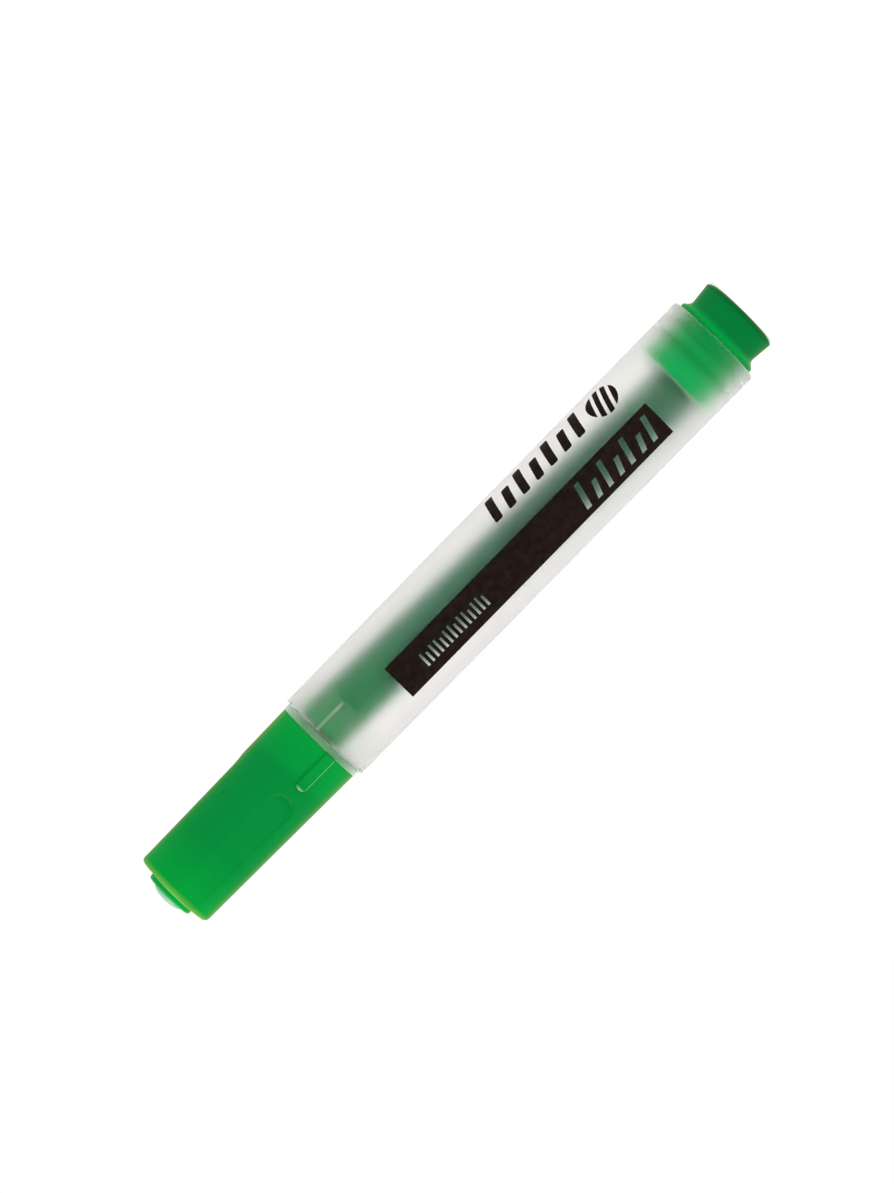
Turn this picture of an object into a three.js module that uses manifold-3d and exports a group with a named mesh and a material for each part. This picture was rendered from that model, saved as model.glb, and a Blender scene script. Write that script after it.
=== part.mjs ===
// A capped highlighter standing on its tail plug. Millimetres, +Z up, origin at the centre of the
// plug's flat end face, so the pen's axis is the Z axis and the cap is on top.
// Angles round the pen are measured from -Y, positive towards +X.

import * as THREE from "three";
import { mergeVertices } from "three/addons/utils/BufferGeometryUtils.js";
import Module from "manifold-3d";

// Heights along the axis.
const TAIL_TO_DOME = 124.0;
const BARREL_TAIL_Z = 5.8;
const BARREL_FRONT_Z = 89.7;
const COLLAR_LENGTH = 1.0;
const CAP_MOUTH_Z = BARREL_FRONT_Z + COLLAR_LENGTH + 0.1;
const CAP_END_Z = 122.1;
const NOSE_TIP_Z = 104.6;
const NIB_TIP_Z = 110.2;

// Radii.
const BARREL_TAIL_R = 8.15;
const BARREL_FRONT_R = 7.8;
const BARREL_WALL = 1.2;
const COLLAR_R = 7.3;
const CAP_MOUTH_R = 7.2;
const CAP_END_R = 6.75;
const NIB_R = 2.45;
const RESERVOIR_R = 4.1;

// The cap's grips: three flats that run to the closed end, and one rib at the mouth in line with the
// front flat.
const FLAT_COUNT = 3;
const FRONT_GRIP_ANGLE = THREE.MathUtils.degToRad(-22.5);
const FLAT_DEPTH_R = 6.45;
const FLAT_WIDTH = 5.3;
const FLAT_START_Z = 99.7;
const RIB_WIDTH = 1.9;
const RIB_TOP_R = 7.62;
const RIB_FROM_Z = 91.0;
const RIB_TO_Z = 97.8;

// Running and press clearances between neighbouring pieces.
const CLOSE_FIT = 0.05;
const LOOSE_FIT = 0.1;

const SIDES = 40;
const NIB_SIDES = 32;
const ARC_STEPS = 10;

const wasm = await Module();
wasm.setup();

// ---------- shape helpers ----------

// A solid of revolution about Z. The outline is a list of [radius, height] that runs outwards along
// the bottom, up the outside and back inside, and either touches the axis at both ends or closes.
function turned(outline, sides = SIDES) {
  const points = outline.map(([r, z]) => new THREE.Vector2(r, z));
  if (outline[0][0] > 0) {
    points.push(points[0].clone());
  }
  return new THREE.LatheGeometry(points, sides).rotateX(Math.PI / 2);
}

// A flat outline pushed outwards from the axis: the outline's x runs round the pen and its y along
// it. The result faces the given angle and spans the two radii.
function radialBlock(outline, angle, innerR, outerR) {
  const block = new THREE.ExtrudeGeometry(outline, {
    depth: outerR - innerR,
    bevelEnabled: false,
    curveSegments: ARC_STEPS,
  });
  block.rotateX(Math.PI / 2);
  block.translate(0, -innerR, 0);
  return block.rotateZ(angle);
}

// A strip of the given width between two heights, with one end rounded to a half circle.
function roundEndedStrip(width, fromZ, toZ, roundAtTop) {
  const half = width / 2;
  const outline = new THREE.Shape();
  if (roundAtTop) {
    outline.moveTo(-half, fromZ);
    outline.lineTo(half, fromZ);
    outline.absarc(0, toZ - half, half, 0, Math.PI, false);
  } else {
    outline.moveTo(half, toZ);
    outline.lineTo(-half, toZ);
    outline.absarc(0, fromZ + half, half, Math.PI, 2 * Math.PI, false);
  }
  outline.closePath();
  return outline;
}

function rectangle(width, fromZ, toZ) {
  const half = width / 2;
  return new THREE.Shape([
    new THREE.Vector2(-half, fromZ),
    new THREE.Vector2(half, fromZ),
    new THREE.Vector2(half, toZ),
    new THREE.Vector2(-half, toZ),
  ]);
}

function solidOf(geometry) {
  const bare = geometry.clone();
  bare.deleteAttribute("normal");
  bare.deleteAttribute("uv");
  const merged = mergeVertices(bare, 1e-4);
  return new wasm.Manifold(
    new wasm.Mesh({
      numProp: 3,
      vertProperties: merged.attributes.position.array,
      triVerts: new Uint32Array(merged.index.array),
    }),
  );
}

function geometryOf(solid) {
  const made = solid.getMesh();
  const geometry = new THREE.BufferGeometry();
  geometry.setAttribute("position", new THREE.BufferAttribute(made.vertProperties, 3));
  geometry.setIndex(new THREE.BufferAttribute(made.triVerts, 1));
  geometry.computeVertexNormals();
  return geometry;
}

function everyAngle(count, first, visit) {
  for (let i = 0; i < count; i += 1) {
    visit(first + (i * 2 * Math.PI) / count);
  }
}

// ---------- materials ----------

const capGreen = new THREE.MeshStandardMaterial({ color: 0x00973c, roughness: 0.42, metalness: 0 });
const plugGreen = new THREE.MeshStandardMaterial({ color: 0x008037, roughness: 0.4, metalness: 0 });
const linerMint = new THREE.MeshStandardMaterial({ color: 0xafd7be, roughness: 0.45, metalness: 0 });
const naturalPlastic = new THREE.MeshStandardMaterial({ color: 0xdfe8dc, roughness: 0.5, metalness: 0 });
const frostedPlastic = new THREE.MeshStandardMaterial({
  color: 0xf0f0ea,
  roughness: 0.55,
  metalness: 0,
  transparent: true,
  opacity: 0.5,
});
const nibFelt = new THREE.MeshStandardMaterial({ color: 0x3fc45a, roughness: 0.95, metalness: 0 });
const inkedFibre = new THREE.MeshStandardMaterial({ color: 0x2f8f4e, roughness: 0.9, metalness: 0 });
const clearFilm = new THREE.MeshStandardMaterial({ color: 0x5fae74, roughness: 0.3, metalness: 0 });

// ---------- barrel ----------

// A tube open at both ends, a little narrower at the front, with softened outer edges.
function barrelGeometry() {
  const tailEdge = 0.5;
  const frontEdge = 0.2;
  const leadIn = 0.3;
  const innerTailR = BARREL_TAIL_R - BARREL_WALL;
  const innerFrontR = BARREL_FRONT_R - BARREL_WALL;
  return turned([
    [innerTailR + leadIn, BARREL_TAIL_Z],
    [BARREL_TAIL_R - tailEdge, BARREL_TAIL_Z],
    [BARREL_TAIL_R - 0.13, BARREL_TAIL_Z + 0.15],
    [BARREL_TAIL_R, BARREL_TAIL_Z + tailEdge],
    [BARREL_FRONT_R, BARREL_FRONT_Z - frontEdge],
    [BARREL_FRONT_R - frontEdge, BARREL_FRONT_Z],
    [innerFrontR, BARREL_FRONT_Z],
    [innerTailR, BARREL_TAIL_Z + leadIn],
  ]);
}

// ---------- tail plug ----------

// A moulded cup, open towards the reservoir. The head outside the barrel has a waist and a flange
// that covers the barrel's mouth. The skirt inside has two lips that lean towards the reservoir.
function tailPlugGeometry() {
  const baseR = 5.5;
  const headR = 6.6;
  const waistR = 6.25;
  const flangeR = 7.2;
  const skirtR = 5.6;
  const skirtWall = 1.2;
  const skirtTopZ = 14.6;
  const flangeZ = BARREL_TAIL_Z - CLOSE_FIT;
  const lipR = BARREL_TAIL_R - BARREL_WALL - LOOSE_FIT;
  const lip = (rootZ, tipZ) => [
    [skirtR, rootZ],
    [lipR, tipZ - 0.25],
    [lipR, tipZ],
    [skirtR, rootZ + 0.8],
  ];
  return turned([
    [0, 0],
    [baseR, 0],
    [headR - 0.25, 0.3],
    [headR, 0.6],
    [waistR, 4.2],
    [waistR, 4.5],
    [flangeR - 0.12, 5.05],
    [flangeR, 5.2],
    [flangeR, flangeZ - 0.25],
    [flangeR - 0.25, flangeZ],
    [skirtR, flangeZ],
    ...lip(6.9, 7.8),
    ...lip(9.5, 10.4),
    [skirtR, skirtTopZ - 0.4],
    [skirtR - 0.3, skirtTopZ],
    [skirtR - skirtWall, skirtTopZ],
    [skirtR - skirtWall - 0.1, 2.2],
    [0, 2.0],
  ]);
}

// ---------- nib holder ----------

// The front section. Its spigot is pressed into the barrel on thin crush ribs, its collar shows
// between barrel and cap, its neck carries the snap bead, and its nose grips the nib, leaving
// grooves that let air into the reservoir.
function nibHolderGeometry() {
  const spigotLength = 6.3;
  const spigotR = 6.3;
  const spigotInnerR = 6.02;
  const barrelInnerR = BARREL_FRONT_R - BARREL_WALL;
  const collarTopZ = BARREL_FRONT_Z + COLLAR_LENGTH;
  const neckR = 6.0;
  const beadR = 6.25;
  const beadZ = 94.6;
  const shoulderZ = 98.0;
  const noseR = 4.25;
  const noseTipR = 3.6;
  const boreR = NIB_R + CLOSE_FIT;
  const spigotZ = BARREL_FRONT_Z - spigotLength;

  const body = turned([
    [spigotInnerR, spigotZ],
    [spigotR - 0.1, spigotZ],
    [spigotR, spigotZ + 0.4],
    [spigotR, BARREL_FRONT_Z + CLOSE_FIT],
    [COLLAR_R - 0.1, BARREL_FRONT_Z + CLOSE_FIT],
    [COLLAR_R, BARREL_FRONT_Z + 0.2],
    [COLLAR_R, collarTopZ - 0.15],
    [COLLAR_R - 0.1, collarTopZ],
    [neckR, collarTopZ],
    [neckR, beadZ - 0.7],
    [beadR, beadZ - 0.2],
    [beadR, beadZ + 0.2],
    [neckR, beadZ + 0.7],
    [neckR, shoulderZ],
    [noseR, shoulderZ + 2.2],
    [noseR, 103.2],
    [noseTipR, NOSE_TIP_Z],
    [boreR, NOSE_TIP_Z],
    [boreR, BARREL_FRONT_Z + 1.9],
    [spigotInnerR, BARREL_FRONT_Z + 0.5],
  ]);

  let holder = solidOf(body);
  const crushRibs = 6;
  const crushRibWidth = 0.5;
  const firstRib = THREE.MathUtils.degToRad(13.7);
  everyAngle(crushRibs, firstRib, (angle) => {
    const rib = rectangle(crushRibWidth, spigotZ + 0.5, BARREL_FRONT_Z + 0.3);
    const ribTopR = barrelInnerR - CLOSE_FIT;
    holder = holder.add(solidOf(radialBlock(rib, angle, spigotR - 0.15, ribTopR)));
  });
  const ventGrooves = 4;
  const ventWidth = 0.8;
  const ventDepth = 0.35;
  everyAngle(ventGrooves, Math.PI / ventGrooves, (angle) => {
    const groove = rectangle(ventWidth, BARREL_FRONT_Z - 1, NOSE_TIP_Z + 1);
    holder = holder.subtract(solidOf(radialBlock(groove, angle, boreR - 0.6, boreR + ventDepth)));
  });
  return geometryOf(holder);
}

// ---------- nib ----------

// A round felt rod cut to a chisel: two cheeks close to a narrow edge, and the edge is slanted.
function nibGeometry() {
  const rearZ = BARREL_FRONT_Z - 0.3;
  const edgeHalf = 0.6;
  const cheekLength = 4.2;
  const slantDrop = 1.7;
  const rod = turned(
    [
      [0, rearZ],
      [NIB_R - 0.5, rearZ],
      [NIB_R, rearZ + 0.5],
      [NIB_R, NIB_TIP_Z],
      [0, NIB_TIP_Z],
    ],
    NIB_SIDES,
  );
  const reach = NIB_R + 0.6;
  const cheekSlope = (NIB_R - edgeHalf) / cheekLength;
  const keptSide = new THREE.Shape([
    new THREE.Vector2(-reach, rearZ - 1),
    new THREE.Vector2(reach, rearZ - 1),
    new THREE.Vector2(reach, NIB_TIP_Z - cheekLength - 0.6 / cheekSlope),
    new THREE.Vector2(edgeHalf, NIB_TIP_Z),
    new THREE.Vector2(-edgeHalf, NIB_TIP_Z),
    new THREE.Vector2(-reach, NIB_TIP_Z - cheekLength - 0.6 / cheekSlope),
  ]);
  const cheeks = radialBlock(keptSide, Math.PI / 2, -reach, reach);
  const slantReach = NIB_R + 0.2;
  const slantedTop = new THREE.Shape([
    new THREE.Vector2(-slantReach, rearZ - 1),
    new THREE.Vector2(slantReach, rearZ - 1),
    new THREE.Vector2(slantReach, NIB_TIP_Z - slantDrop),
    new THREE.Vector2(-slantReach, NIB_TIP_Z),
  ]);
  const slant = radialBlock(slantedTop, 0, -slantReach, slantReach);
  return geometryOf(solidOf(rod).intersect(solidOf(cheeks)).intersect(solidOf(slant)));
}

// ---------- reservoir ----------

// Both pieces are made about their own centre, because the reservoir lies a little askew.
const RESERVOIR_LENGTH = 74.2;
const FILM_THICKNESS = 0.15;

function reservoirCoreGeometry() {
  const coreR = RESERVOIR_R - FILM_THICKNESS - CLOSE_FIT;
  const half = RESERVOIR_LENGTH / 2;
  const edge = 0.6;
  return turned([
    [0, -half],
    [coreR - edge, -half],
    [coreR, -half + edge],
    [coreR, half - edge],
    [coreR - edge, half],
    [0, half],
  ]);
}

function reservoirFilmGeometry() {
  const half = RESERVOIR_LENGTH / 2 - 0.8;
  const innerR = RESERVOIR_R - FILM_THICKNESS;
  return turned([
    [innerR, -half],
    [RESERVOIR_R, -half],
    [RESERVOIR_R, half],
    [innerR, half],
  ]);
}

// ---------- cap ----------

// The outer cap tapers to its closed end, where a low boss holds the liner's stem.
function capShellGeometry() {
  const mouthInnerR = 6.5;
  const snapBeadR = 6.3;
  const snapBeadZ = 93.2;
  const bodyInnerR = 5.6;
  const ledgeZ = 98.6;
  const endWallZ = 119.9;
  const bossR = 4.05;
  const bossTopZ = 123.15;
  const stemHoleR = 2.75;
  const endRound = 0.8;

  const body = turned([
    [mouthInnerR + 0.25, CAP_MOUTH_Z],
    [CAP_MOUTH_R - 0.12, CAP_MOUTH_Z],
    [CAP_MOUTH_R, CAP_MOUTH_Z + 0.15],
    [CAP_END_R, CAP_END_Z - endRound],
    [CAP_END_R - endRound * 0.29, CAP_END_Z - endRound * 0.29],
    [CAP_END_R - endRound, CAP_END_Z],
    [bossR, CAP_END_Z],
    [bossR, bossTopZ - 0.5],
    [bossR - 0.5, bossTopZ],
    [stemHoleR, bossTopZ],
    [stemHoleR, endWallZ],
    [bodyInnerR, endWallZ],
    [bodyInnerR, ledgeZ + 0.8],
    [mouthInnerR, ledgeZ],
    [mouthInnerR, snapBeadZ + 0.5],
    [snapBeadR, snapBeadZ + 0.1],
    [snapBeadR, snapBeadZ - 0.1],
    [mouthInnerR, snapBeadZ - 0.5],
    [mouthInnerR, CAP_MOUTH_Z + 0.4],
  ]);

  let cap = solidOf(body);
  const flat = roundEndedStrip(FLAT_WIDTH, FLAT_START_Z, CAP_END_Z + 1, false);
  everyAngle(FLAT_COUNT, FRONT_GRIP_ANGLE, (angle) => {
    cap = cap.subtract(solidOf(radialBlock(flat, angle, FLAT_DEPTH_R, CAP_MOUTH_R + 1)));
  });
  const rib = roundEndedStrip(RIB_WIDTH, RIB_FROM_Z, RIB_TO_Z, true);
  cap = cap.add(solidOf(radialBlock(rib, FRONT_GRIP_ANGLE, CAP_MOUTH_R - 0.5, RIB_TOP_R)));
  return geometryOf(cap);
}

// The liner hangs in the cap from its stem. Its skirt closes round the nose, so the nib stays wet.
function capLinerGeometry() {
  const skirtFromZ = 101.0;
  const skirtR = 5.2;
  const skirtInnerR = 4.5;
  const lipR = 4.3;
  const discZ = 118.4;
  const discTopZ = 119.85;
  const discR = 5.5;
  const stemR = 2.7;
  const domeBaseZ = 123.2;
  const dome = [];
  const domeSteps = 5;
  for (let i = 0; i <= domeSteps; i += 1) {
    const turn = (i / domeSteps) * (Math.PI / 2);
    const height = TAIL_TO_DOME - domeBaseZ;
    dome.push([stemR * Math.cos(turn), domeBaseZ + height * Math.sin(turn)]);
  }
  dome[domeSteps][0] = 0;
  return turned([
    [0, discZ],
    [skirtInnerR - 0.5, discZ],
    [skirtInnerR, discZ - 0.5],
    [skirtInnerR, skirtFromZ + 1.4],
    [lipR, skirtFromZ + 1.0],
    [lipR, skirtFromZ + 0.5],
    [skirtInnerR, skirtFromZ],
    [skirtR - 0.1, skirtFromZ],
    [skirtR, skirtFromZ + 0.2],
    [skirtR, discZ - 0.6],
    [discR, discZ - 0.3],
    [discR, discTopZ],
    [stemR, discTopZ],
    ...dome,
  ]);
}

// ---------- assembly ----------

function piece(name, geometry, material) {
  const mesh = new THREE.Mesh(geometry, material);
  mesh.name = name;
  return mesh;
}

const writingUnit = new THREE.Group();
writingUnit.add(piece("barrel", barrelGeometry(), frostedPlastic));
writingUnit.add(piece("tail_plug", tailPlugGeometry(), plugGreen));
writingUnit.add(piece("nib_holder", nibHolderGeometry(), naturalPlastic));
writingUnit.add(piece("nib", nibGeometry(), nibFelt));

// The reservoir lies askew in the bore. Its front end sits towards +X and -Y, its rear end towards
// -X and +Y.
const reservoir = new THREE.Group();
const RESERVOIR_MID = new THREE.Vector3(0.07, 0.05, 52.05);
const RESERVOIR_DIRECTION = new THREE.Vector3(0.0295, -0.031, 1).normalize();
reservoir.position.copy(RESERVOIR_MID);
reservoir.quaternion.setFromUnitVectors(new THREE.Vector3(0, 0, 1), RESERVOIR_DIRECTION);
reservoir.add(piece("reservoir_core", reservoirCoreGeometry(), inkedFibre));
reservoir.add(piece("reservoir_film", reservoirFilmGeometry(), clearFilm));
writingUnit.add(reservoir);

const cap = new THREE.Group();
cap.add(piece("cap_shell", capShellGeometry(), capGreen));
cap.add(piece("cap_liner", capLinerGeometry(), linerMint));

const group = new THREE.Group();
group.add(writingUnit);
group.add(cap);

export default group;
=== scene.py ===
# %% [markdown]
# # A capped highlighter, piece by piece
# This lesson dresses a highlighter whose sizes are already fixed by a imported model. The frame below
# brings that model in, one object for each moulded or pressed part, and every new piece is made in
# the same place and at the same size as the part that it stands for. The pen stands on its tail
# plug with its axis on Z, and the side with the printed band looks towards -Y.

# %% Load the frame
import math

import bmesh
import bpy
from mathutils import Matrix, Vector


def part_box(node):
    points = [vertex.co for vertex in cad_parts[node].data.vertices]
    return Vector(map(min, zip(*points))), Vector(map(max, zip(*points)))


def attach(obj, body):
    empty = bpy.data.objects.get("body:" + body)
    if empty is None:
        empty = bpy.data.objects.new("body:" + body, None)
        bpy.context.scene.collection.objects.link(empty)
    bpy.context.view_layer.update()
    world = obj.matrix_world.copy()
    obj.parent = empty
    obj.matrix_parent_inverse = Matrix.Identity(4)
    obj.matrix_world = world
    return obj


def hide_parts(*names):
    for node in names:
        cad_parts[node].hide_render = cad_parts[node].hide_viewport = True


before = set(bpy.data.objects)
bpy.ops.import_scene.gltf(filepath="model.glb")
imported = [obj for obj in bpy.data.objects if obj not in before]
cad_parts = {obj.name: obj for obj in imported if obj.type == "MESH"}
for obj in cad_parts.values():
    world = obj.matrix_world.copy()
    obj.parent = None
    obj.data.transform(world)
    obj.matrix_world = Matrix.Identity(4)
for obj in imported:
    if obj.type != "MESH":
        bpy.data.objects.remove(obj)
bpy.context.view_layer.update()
print("frame nodes:", ", ".join(sorted(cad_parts)))

# %% [markdown]
# The parts are a few millimetres thick, and Blender's bevels, merges and booleans have thresholds
# that suit bigger things. So each piece is modelled with one unit for a millimetre and is shrunk to
# metres when it is finished. The main sizes are read from the frame's boxes, so that a piece always
# fits the part that it stands for.

# %% Driving sizes, in millimetres
MM = 0.001


def low_high(node):
    low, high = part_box(node)
    return low / MM, high / MM


barrel_low, barrel_high = low_high("barrel")
plug_low, plug_high = low_high("tail_plug")
holder_low, holder_high = low_high("nib_holder")
nib_low, nib_high = low_high("nib")
cap_low, cap_high = low_high("cap_shell")
liner_low, liner_high = low_high("cap_liner")

BARREL_TAIL_R = barrel_high.x
BARREL_FRONT_R = BARREL_TAIL_R - 0.35
BARREL_WALL = 1.2
COLLAR_R = holder_high.x
SPIGOT_R = 6.3
CAP_MOUTH_R = 7.2
CAP_TOP_R = 6.75
CAP_TOP_Z = cap_high.z - 1.05
CAP_STEP_Z = 98.6
CAP_RIB_R = 7.62
CAP_RIB_WIDTH = 1.9
CAP_RIB_TOP = 97.8
BOSS_R = 4.05
FLAT_COUNT = 3
FRONT_GRIP_TURN = math.radians(-22.5)
SKIRT_R = 5.6
LIP_R = BARREL_TAIL_R - BARREL_WALL - 0.04
LIP_TIPS = (7.8, 10.4)
FLANGE_TOP = barrel_low.z - 0.05
PEN_LENGTH = liner_high.z
SIDES = 192
print("barrel from", round(barrel_low.z, 2), "to", round(barrel_high.z, 2), "mm")
print("cap from", round(cap_low.z, 2), "to", round(cap_high.z, 2), "mm")

# %% [markdown]
# Most parts of a pen are round, so they could be spun from an outline or drawn out ring by ring.
# Ring by ring is how one would do it by hand: a circle is added, extruded upwards and scaled, again
# and again, until the outline is back where it began or is closed by a lid. Afterwards each corner
# ring can be picked by its radius and height and bevelled, because moulded plastic has no sharp
# corners. A corner is written as radius, height and rounding.

# %% Drawing out a round piece
SAME_PLACE = 0.002
SAME_POINT = 0.001


def select_only(piece):
    bpy.ops.object.select_all(action="DESELECT")
    piece.select_set(True)
    bpy.context.view_layer.objects.active = piece


def fix_in_place():
    """Write the selected piece's place, turn and scale into its mesh."""
    bpy.ops.object.transform_apply(location=True, rotation=True, scale=True)


def pick_edges(piece, wanted):
    """Select, in edit mode, the edges for which wanted(edge) is true."""
    mesh = bmesh.from_edit_mesh(piece.data)
    for edge in mesh.edges:
        edge.select_set(wanted(edge))
    bmesh.update_edit_mesh(piece.data)


def on_ring(edge, radius, height):
    return all(
        abs(v.co.xy.length - radius) < SAME_PLACE and abs(v.co.z - height) < SAME_PLACE
        for v in edge.verts
    )


def turn(name, corners, hollow, sides=SIDES, bevel_steps=4):
    """A round piece drawn out ring by ring. A hollow one's last ring meets its first."""
    bpy.ops.object.select_all(action="DESELECT")
    radius, height, _ = corners[0]
    fill = "NOTHING" if hollow else "NGON"
    bpy.ops.mesh.primitive_circle_add(
        vertices=sides, radius=radius, fill_type=fill, location=(0, 0, height)
    )
    piece = bpy.context.object
    piece.name = name
    fix_in_place()
    bpy.ops.object.mode_set(mode="EDIT")
    bpy.ops.mesh.select_mode(type="EDGE")
    if not hollow:
        bpy.ops.mesh.select_all(action="DESELECT")
        bpy.ops.mesh.select_non_manifold()
    for next_radius, next_height, _ in corners[1:] + (corners[:1] if hollow else []):
        rise = (0, 0, next_height - height)
        bpy.ops.mesh.extrude_region_move(TRANSFORM_OT_translate={"value": rise})
        grow = next_radius / radius
        bpy.ops.transform.resize(value=(grow, grow, 1), center_override=(0, 0, 0))
        radius, height = next_radius, next_height
    if hollow:
        bpy.ops.mesh.select_all(action="SELECT")
        bpy.ops.mesh.remove_doubles(threshold=SAME_POINT)
    else:
        bpy.ops.mesh.edge_face_add()
    bpy.ops.mesh.select_all(action="SELECT")
    bpy.ops.mesh.normals_make_consistent(inside=False)
    for radius, height, rounding in corners:
        if rounding:
            pick_edges(piece, lambda edge: on_ring(edge, radius, height))
            bpy.ops.mesh.bevel(offset=rounding, segments=bevel_steps, affect="EDGES")
    bpy.ops.object.mode_set(mode="OBJECT")
    return piece


# %% [markdown]
# What isn't round is made with tools: a second closed piece is joined on, or cut away, with a
# boolean. A tool is always made on the -Y side, rounded if need be, and turned about the axis.

# %% Joining, cutting and rounding
def merge(target, tool, operation):
    """Join, cut or keep the common part of two closed pieces, and drop the tool."""
    select_only(target)
    modifier = target.modifiers.new(operation.lower(), "BOOLEAN")
    modifier.operation = operation
    modifier.object = tool
    modifier.solver = "EXACT"
    bpy.ops.object.modifier_apply(modifier=modifier.name)
    bpy.data.objects.remove(tool)
    return target


def turned_about_axis(tool, angle):
    """Turn a tool that was made on the -Y side round the pen's axis, and fix it there."""
    select_only(tool)
    tool.matrix_world = Matrix.Rotation(angle, 4, "Z") @ tool.matrix_world
    fix_in_place()
    return tool


def soften(piece, width, steps=2, sharper_than=30):
    """Round every edge that is sharper than an angle."""
    select_only(piece)
    modifier = piece.modifiers.new("soften", "BEVEL")
    modifier.limit_method = "ANGLE"
    modifier.angle_limit = math.radians(sharper_than)
    modifier.width = width
    modifier.segments = steps
    bpy.ops.object.modifier_apply(modifier=modifier.name)
    return piece


# %% [markdown]
# A finished piece is shrunk to metres, shaded smooth with crisp edges where faces meet sharply, and
# handed to the frame: it rides on the body that moves it, takes the place of its CAD node, which is
# hidden, and gets its material. The weighted normals keep large flat or long faces free of the
# shading smears that a bevel would otherwise pull across them.

# %% Finishing a piece
CRISP_ANGLE = math.radians(35)


def finish(piece, body, material, node=None):
    select_only(piece)
    piece.scale = (MM, MM, MM)
    fix_in_place()
    bpy.ops.object.shade_smooth_by_angle(angle=CRISP_ANGLE)
    modifier = piece.modifiers.new("even shading", "WEIGHTED_NORMAL")
    modifier.keep_sharp = True
    bpy.ops.object.modifier_apply(modifier=modifier.name)
    piece.data.materials.clear()
    piece.data.materials.append(material)
    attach(piece, body)
    if node:
        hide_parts(node)
    print(piece.name, "has", len(piece.data.polygons), "faces")
    return piece


# %% [markdown]
# ## Finishes
# Every plastic here was moulded, so they share one look close up: a very fine grain from the mould
# and a slow unevenness in how the surface reflects. Both come from noise on the piece's own
# coordinates. They are built once as a node group and given different amounts in each material.

# %% The shared moulded-grain group
def add_socket(group, name, in_out, kind, value=None):
    socket = group.interface.new_socket(name=name, in_out=in_out, socket_type=kind)
    if value is not None:
        socket.default_value = value


def place(tree, kind, x, y, **settings):
    node = tree.nodes.new(kind)
    node.location = (x, y)
    for key, value in settings.items():
        setattr(node, key, value)
    return node


def moulded_grain_group():
    group = bpy.data.node_groups.new("moulded_grain", "ShaderNodeTree")
    add_socket(group, "Vector", "INPUT", "NodeSocketVector")
    add_socket(group, "Grain Scale", "INPUT", "NodeSocketFloat", 9000.0)
    add_socket(group, "Mottle Scale", "INPUT", "NodeSocketFloat", 350.0)
    add_socket(group, "Roughness Low", "INPUT", "NodeSocketFloat", 0.35)
    add_socket(group, "Roughness High", "INPUT", "NodeSocketFloat", 0.5)
    add_socket(group, "Height", "OUTPUT", "NodeSocketFloat")
    add_socket(group, "Mottle", "OUTPUT", "NodeSocketFloat")
    add_socket(group, "Roughness", "OUTPUT", "NodeSocketFloat")
    ins = place(group, "NodeGroupInput", -700, 0)
    outs = place(group, "NodeGroupOutput", 500, 0)
    grain = place(group, "ShaderNodeTexNoise", -400, 200)
    grain.inputs["Detail"].default_value = 3.0
    mottle = place(group, "ShaderNodeTexNoise", -400, -100)
    mottle.inputs["Detail"].default_value = 4.0
    mottle.inputs["Roughness"].default_value = 0.6
    shine = place(group, "ShaderNodeMapRange", 100, -200)
    shine.inputs["From Min"].default_value = 0.3
    shine.inputs["From Max"].default_value = 0.7
    join = group.links.new
    join(ins.outputs["Vector"], grain.inputs["Vector"])
    join(ins.outputs["Vector"], mottle.inputs["Vector"])
    join(ins.outputs["Grain Scale"], grain.inputs["Scale"])
    join(ins.outputs["Mottle Scale"], mottle.inputs["Scale"])
    join(ins.outputs["Roughness Low"], shine.inputs["To Min"])
    join(ins.outputs["Roughness High"], shine.inputs["To Max"])
    join(mottle.outputs["Fac"], shine.inputs["Value"])
    join(grain.outputs["Fac"], outs.inputs["Height"])
    join(mottle.outputs["Fac"], outs.inputs["Mottle"])
    join(shine.outputs["Result"], outs.inputs["Roughness"])
    return group


MOULDED_GRAIN = moulded_grain_group()
print("node group:", MOULDED_GRAIN.name, "with", len(MOULDED_GRAIN.nodes), "nodes")

# %% [markdown]
# Each finish starts from the same three nodes: object coordinates, the grain group and a bump a
# fiftieth of a millimetre deep. A colour then drifts between two close shades with the slow mottle,
# as no moulding is one flat colour.

# %% Starting a finish
BUMP_DEPTH = 0.02 * MM


def grained_material(name, rough, bump, grain_scale=9000.0, mottle_scale=350.0):
    """A new material with the shared grain joined to its shader."""
    material = bpy.data.materials.new(name)
    material.use_nodes = True
    tree = material.node_tree
    shader = tree.nodes["Principled BSDF"]
    coords = place(tree, "ShaderNodeTexCoord", -1100, 0)
    grain = place(tree, "ShaderNodeGroup", -800, 0, node_tree=MOULDED_GRAIN)
    grain.inputs["Grain Scale"].default_value = grain_scale
    grain.inputs["Mottle Scale"].default_value = mottle_scale
    grain.inputs["Roughness Low"].default_value = rough[0]
    grain.inputs["Roughness High"].default_value = rough[1]
    tree.links.new(coords.outputs["Object"], grain.inputs["Vector"])
    tree.links.new(grain.outputs["Roughness"], shader.inputs["Roughness"])
    if bump:
        dent = place(tree, "ShaderNodeBump", -300, -300)
        dent.inputs["Strength"].default_value = bump
        dent.inputs["Distance"].default_value = BUMP_DEPTH
        tree.links.new(grain.outputs["Height"], dent.inputs["Height"])
        tree.links.new(dent.outputs["Normal"], shader.inputs["Normal"])
    return material, tree, shader, coords, grain


def colour_ramp(tree, factor, x, y, stops):
    """A colour that follows a mask through two or more stops."""
    ramp = place(tree, "ShaderNodeValToRGB", x, y)
    first, last = ramp.color_ramp.elements
    first.position, first.color = stops[0][0], (*stops[0][1], 1)
    last.position, last.color = stops[-1][0], (*stops[-1][1], 1)
    for position, colour in stops[1:-1]:
        ramp.color_ramp.elements.new(position).color = (*colour, 1)
    tree.links.new(factor, ramp.inputs["Fac"])
    return ramp.outputs["Color"]


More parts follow.
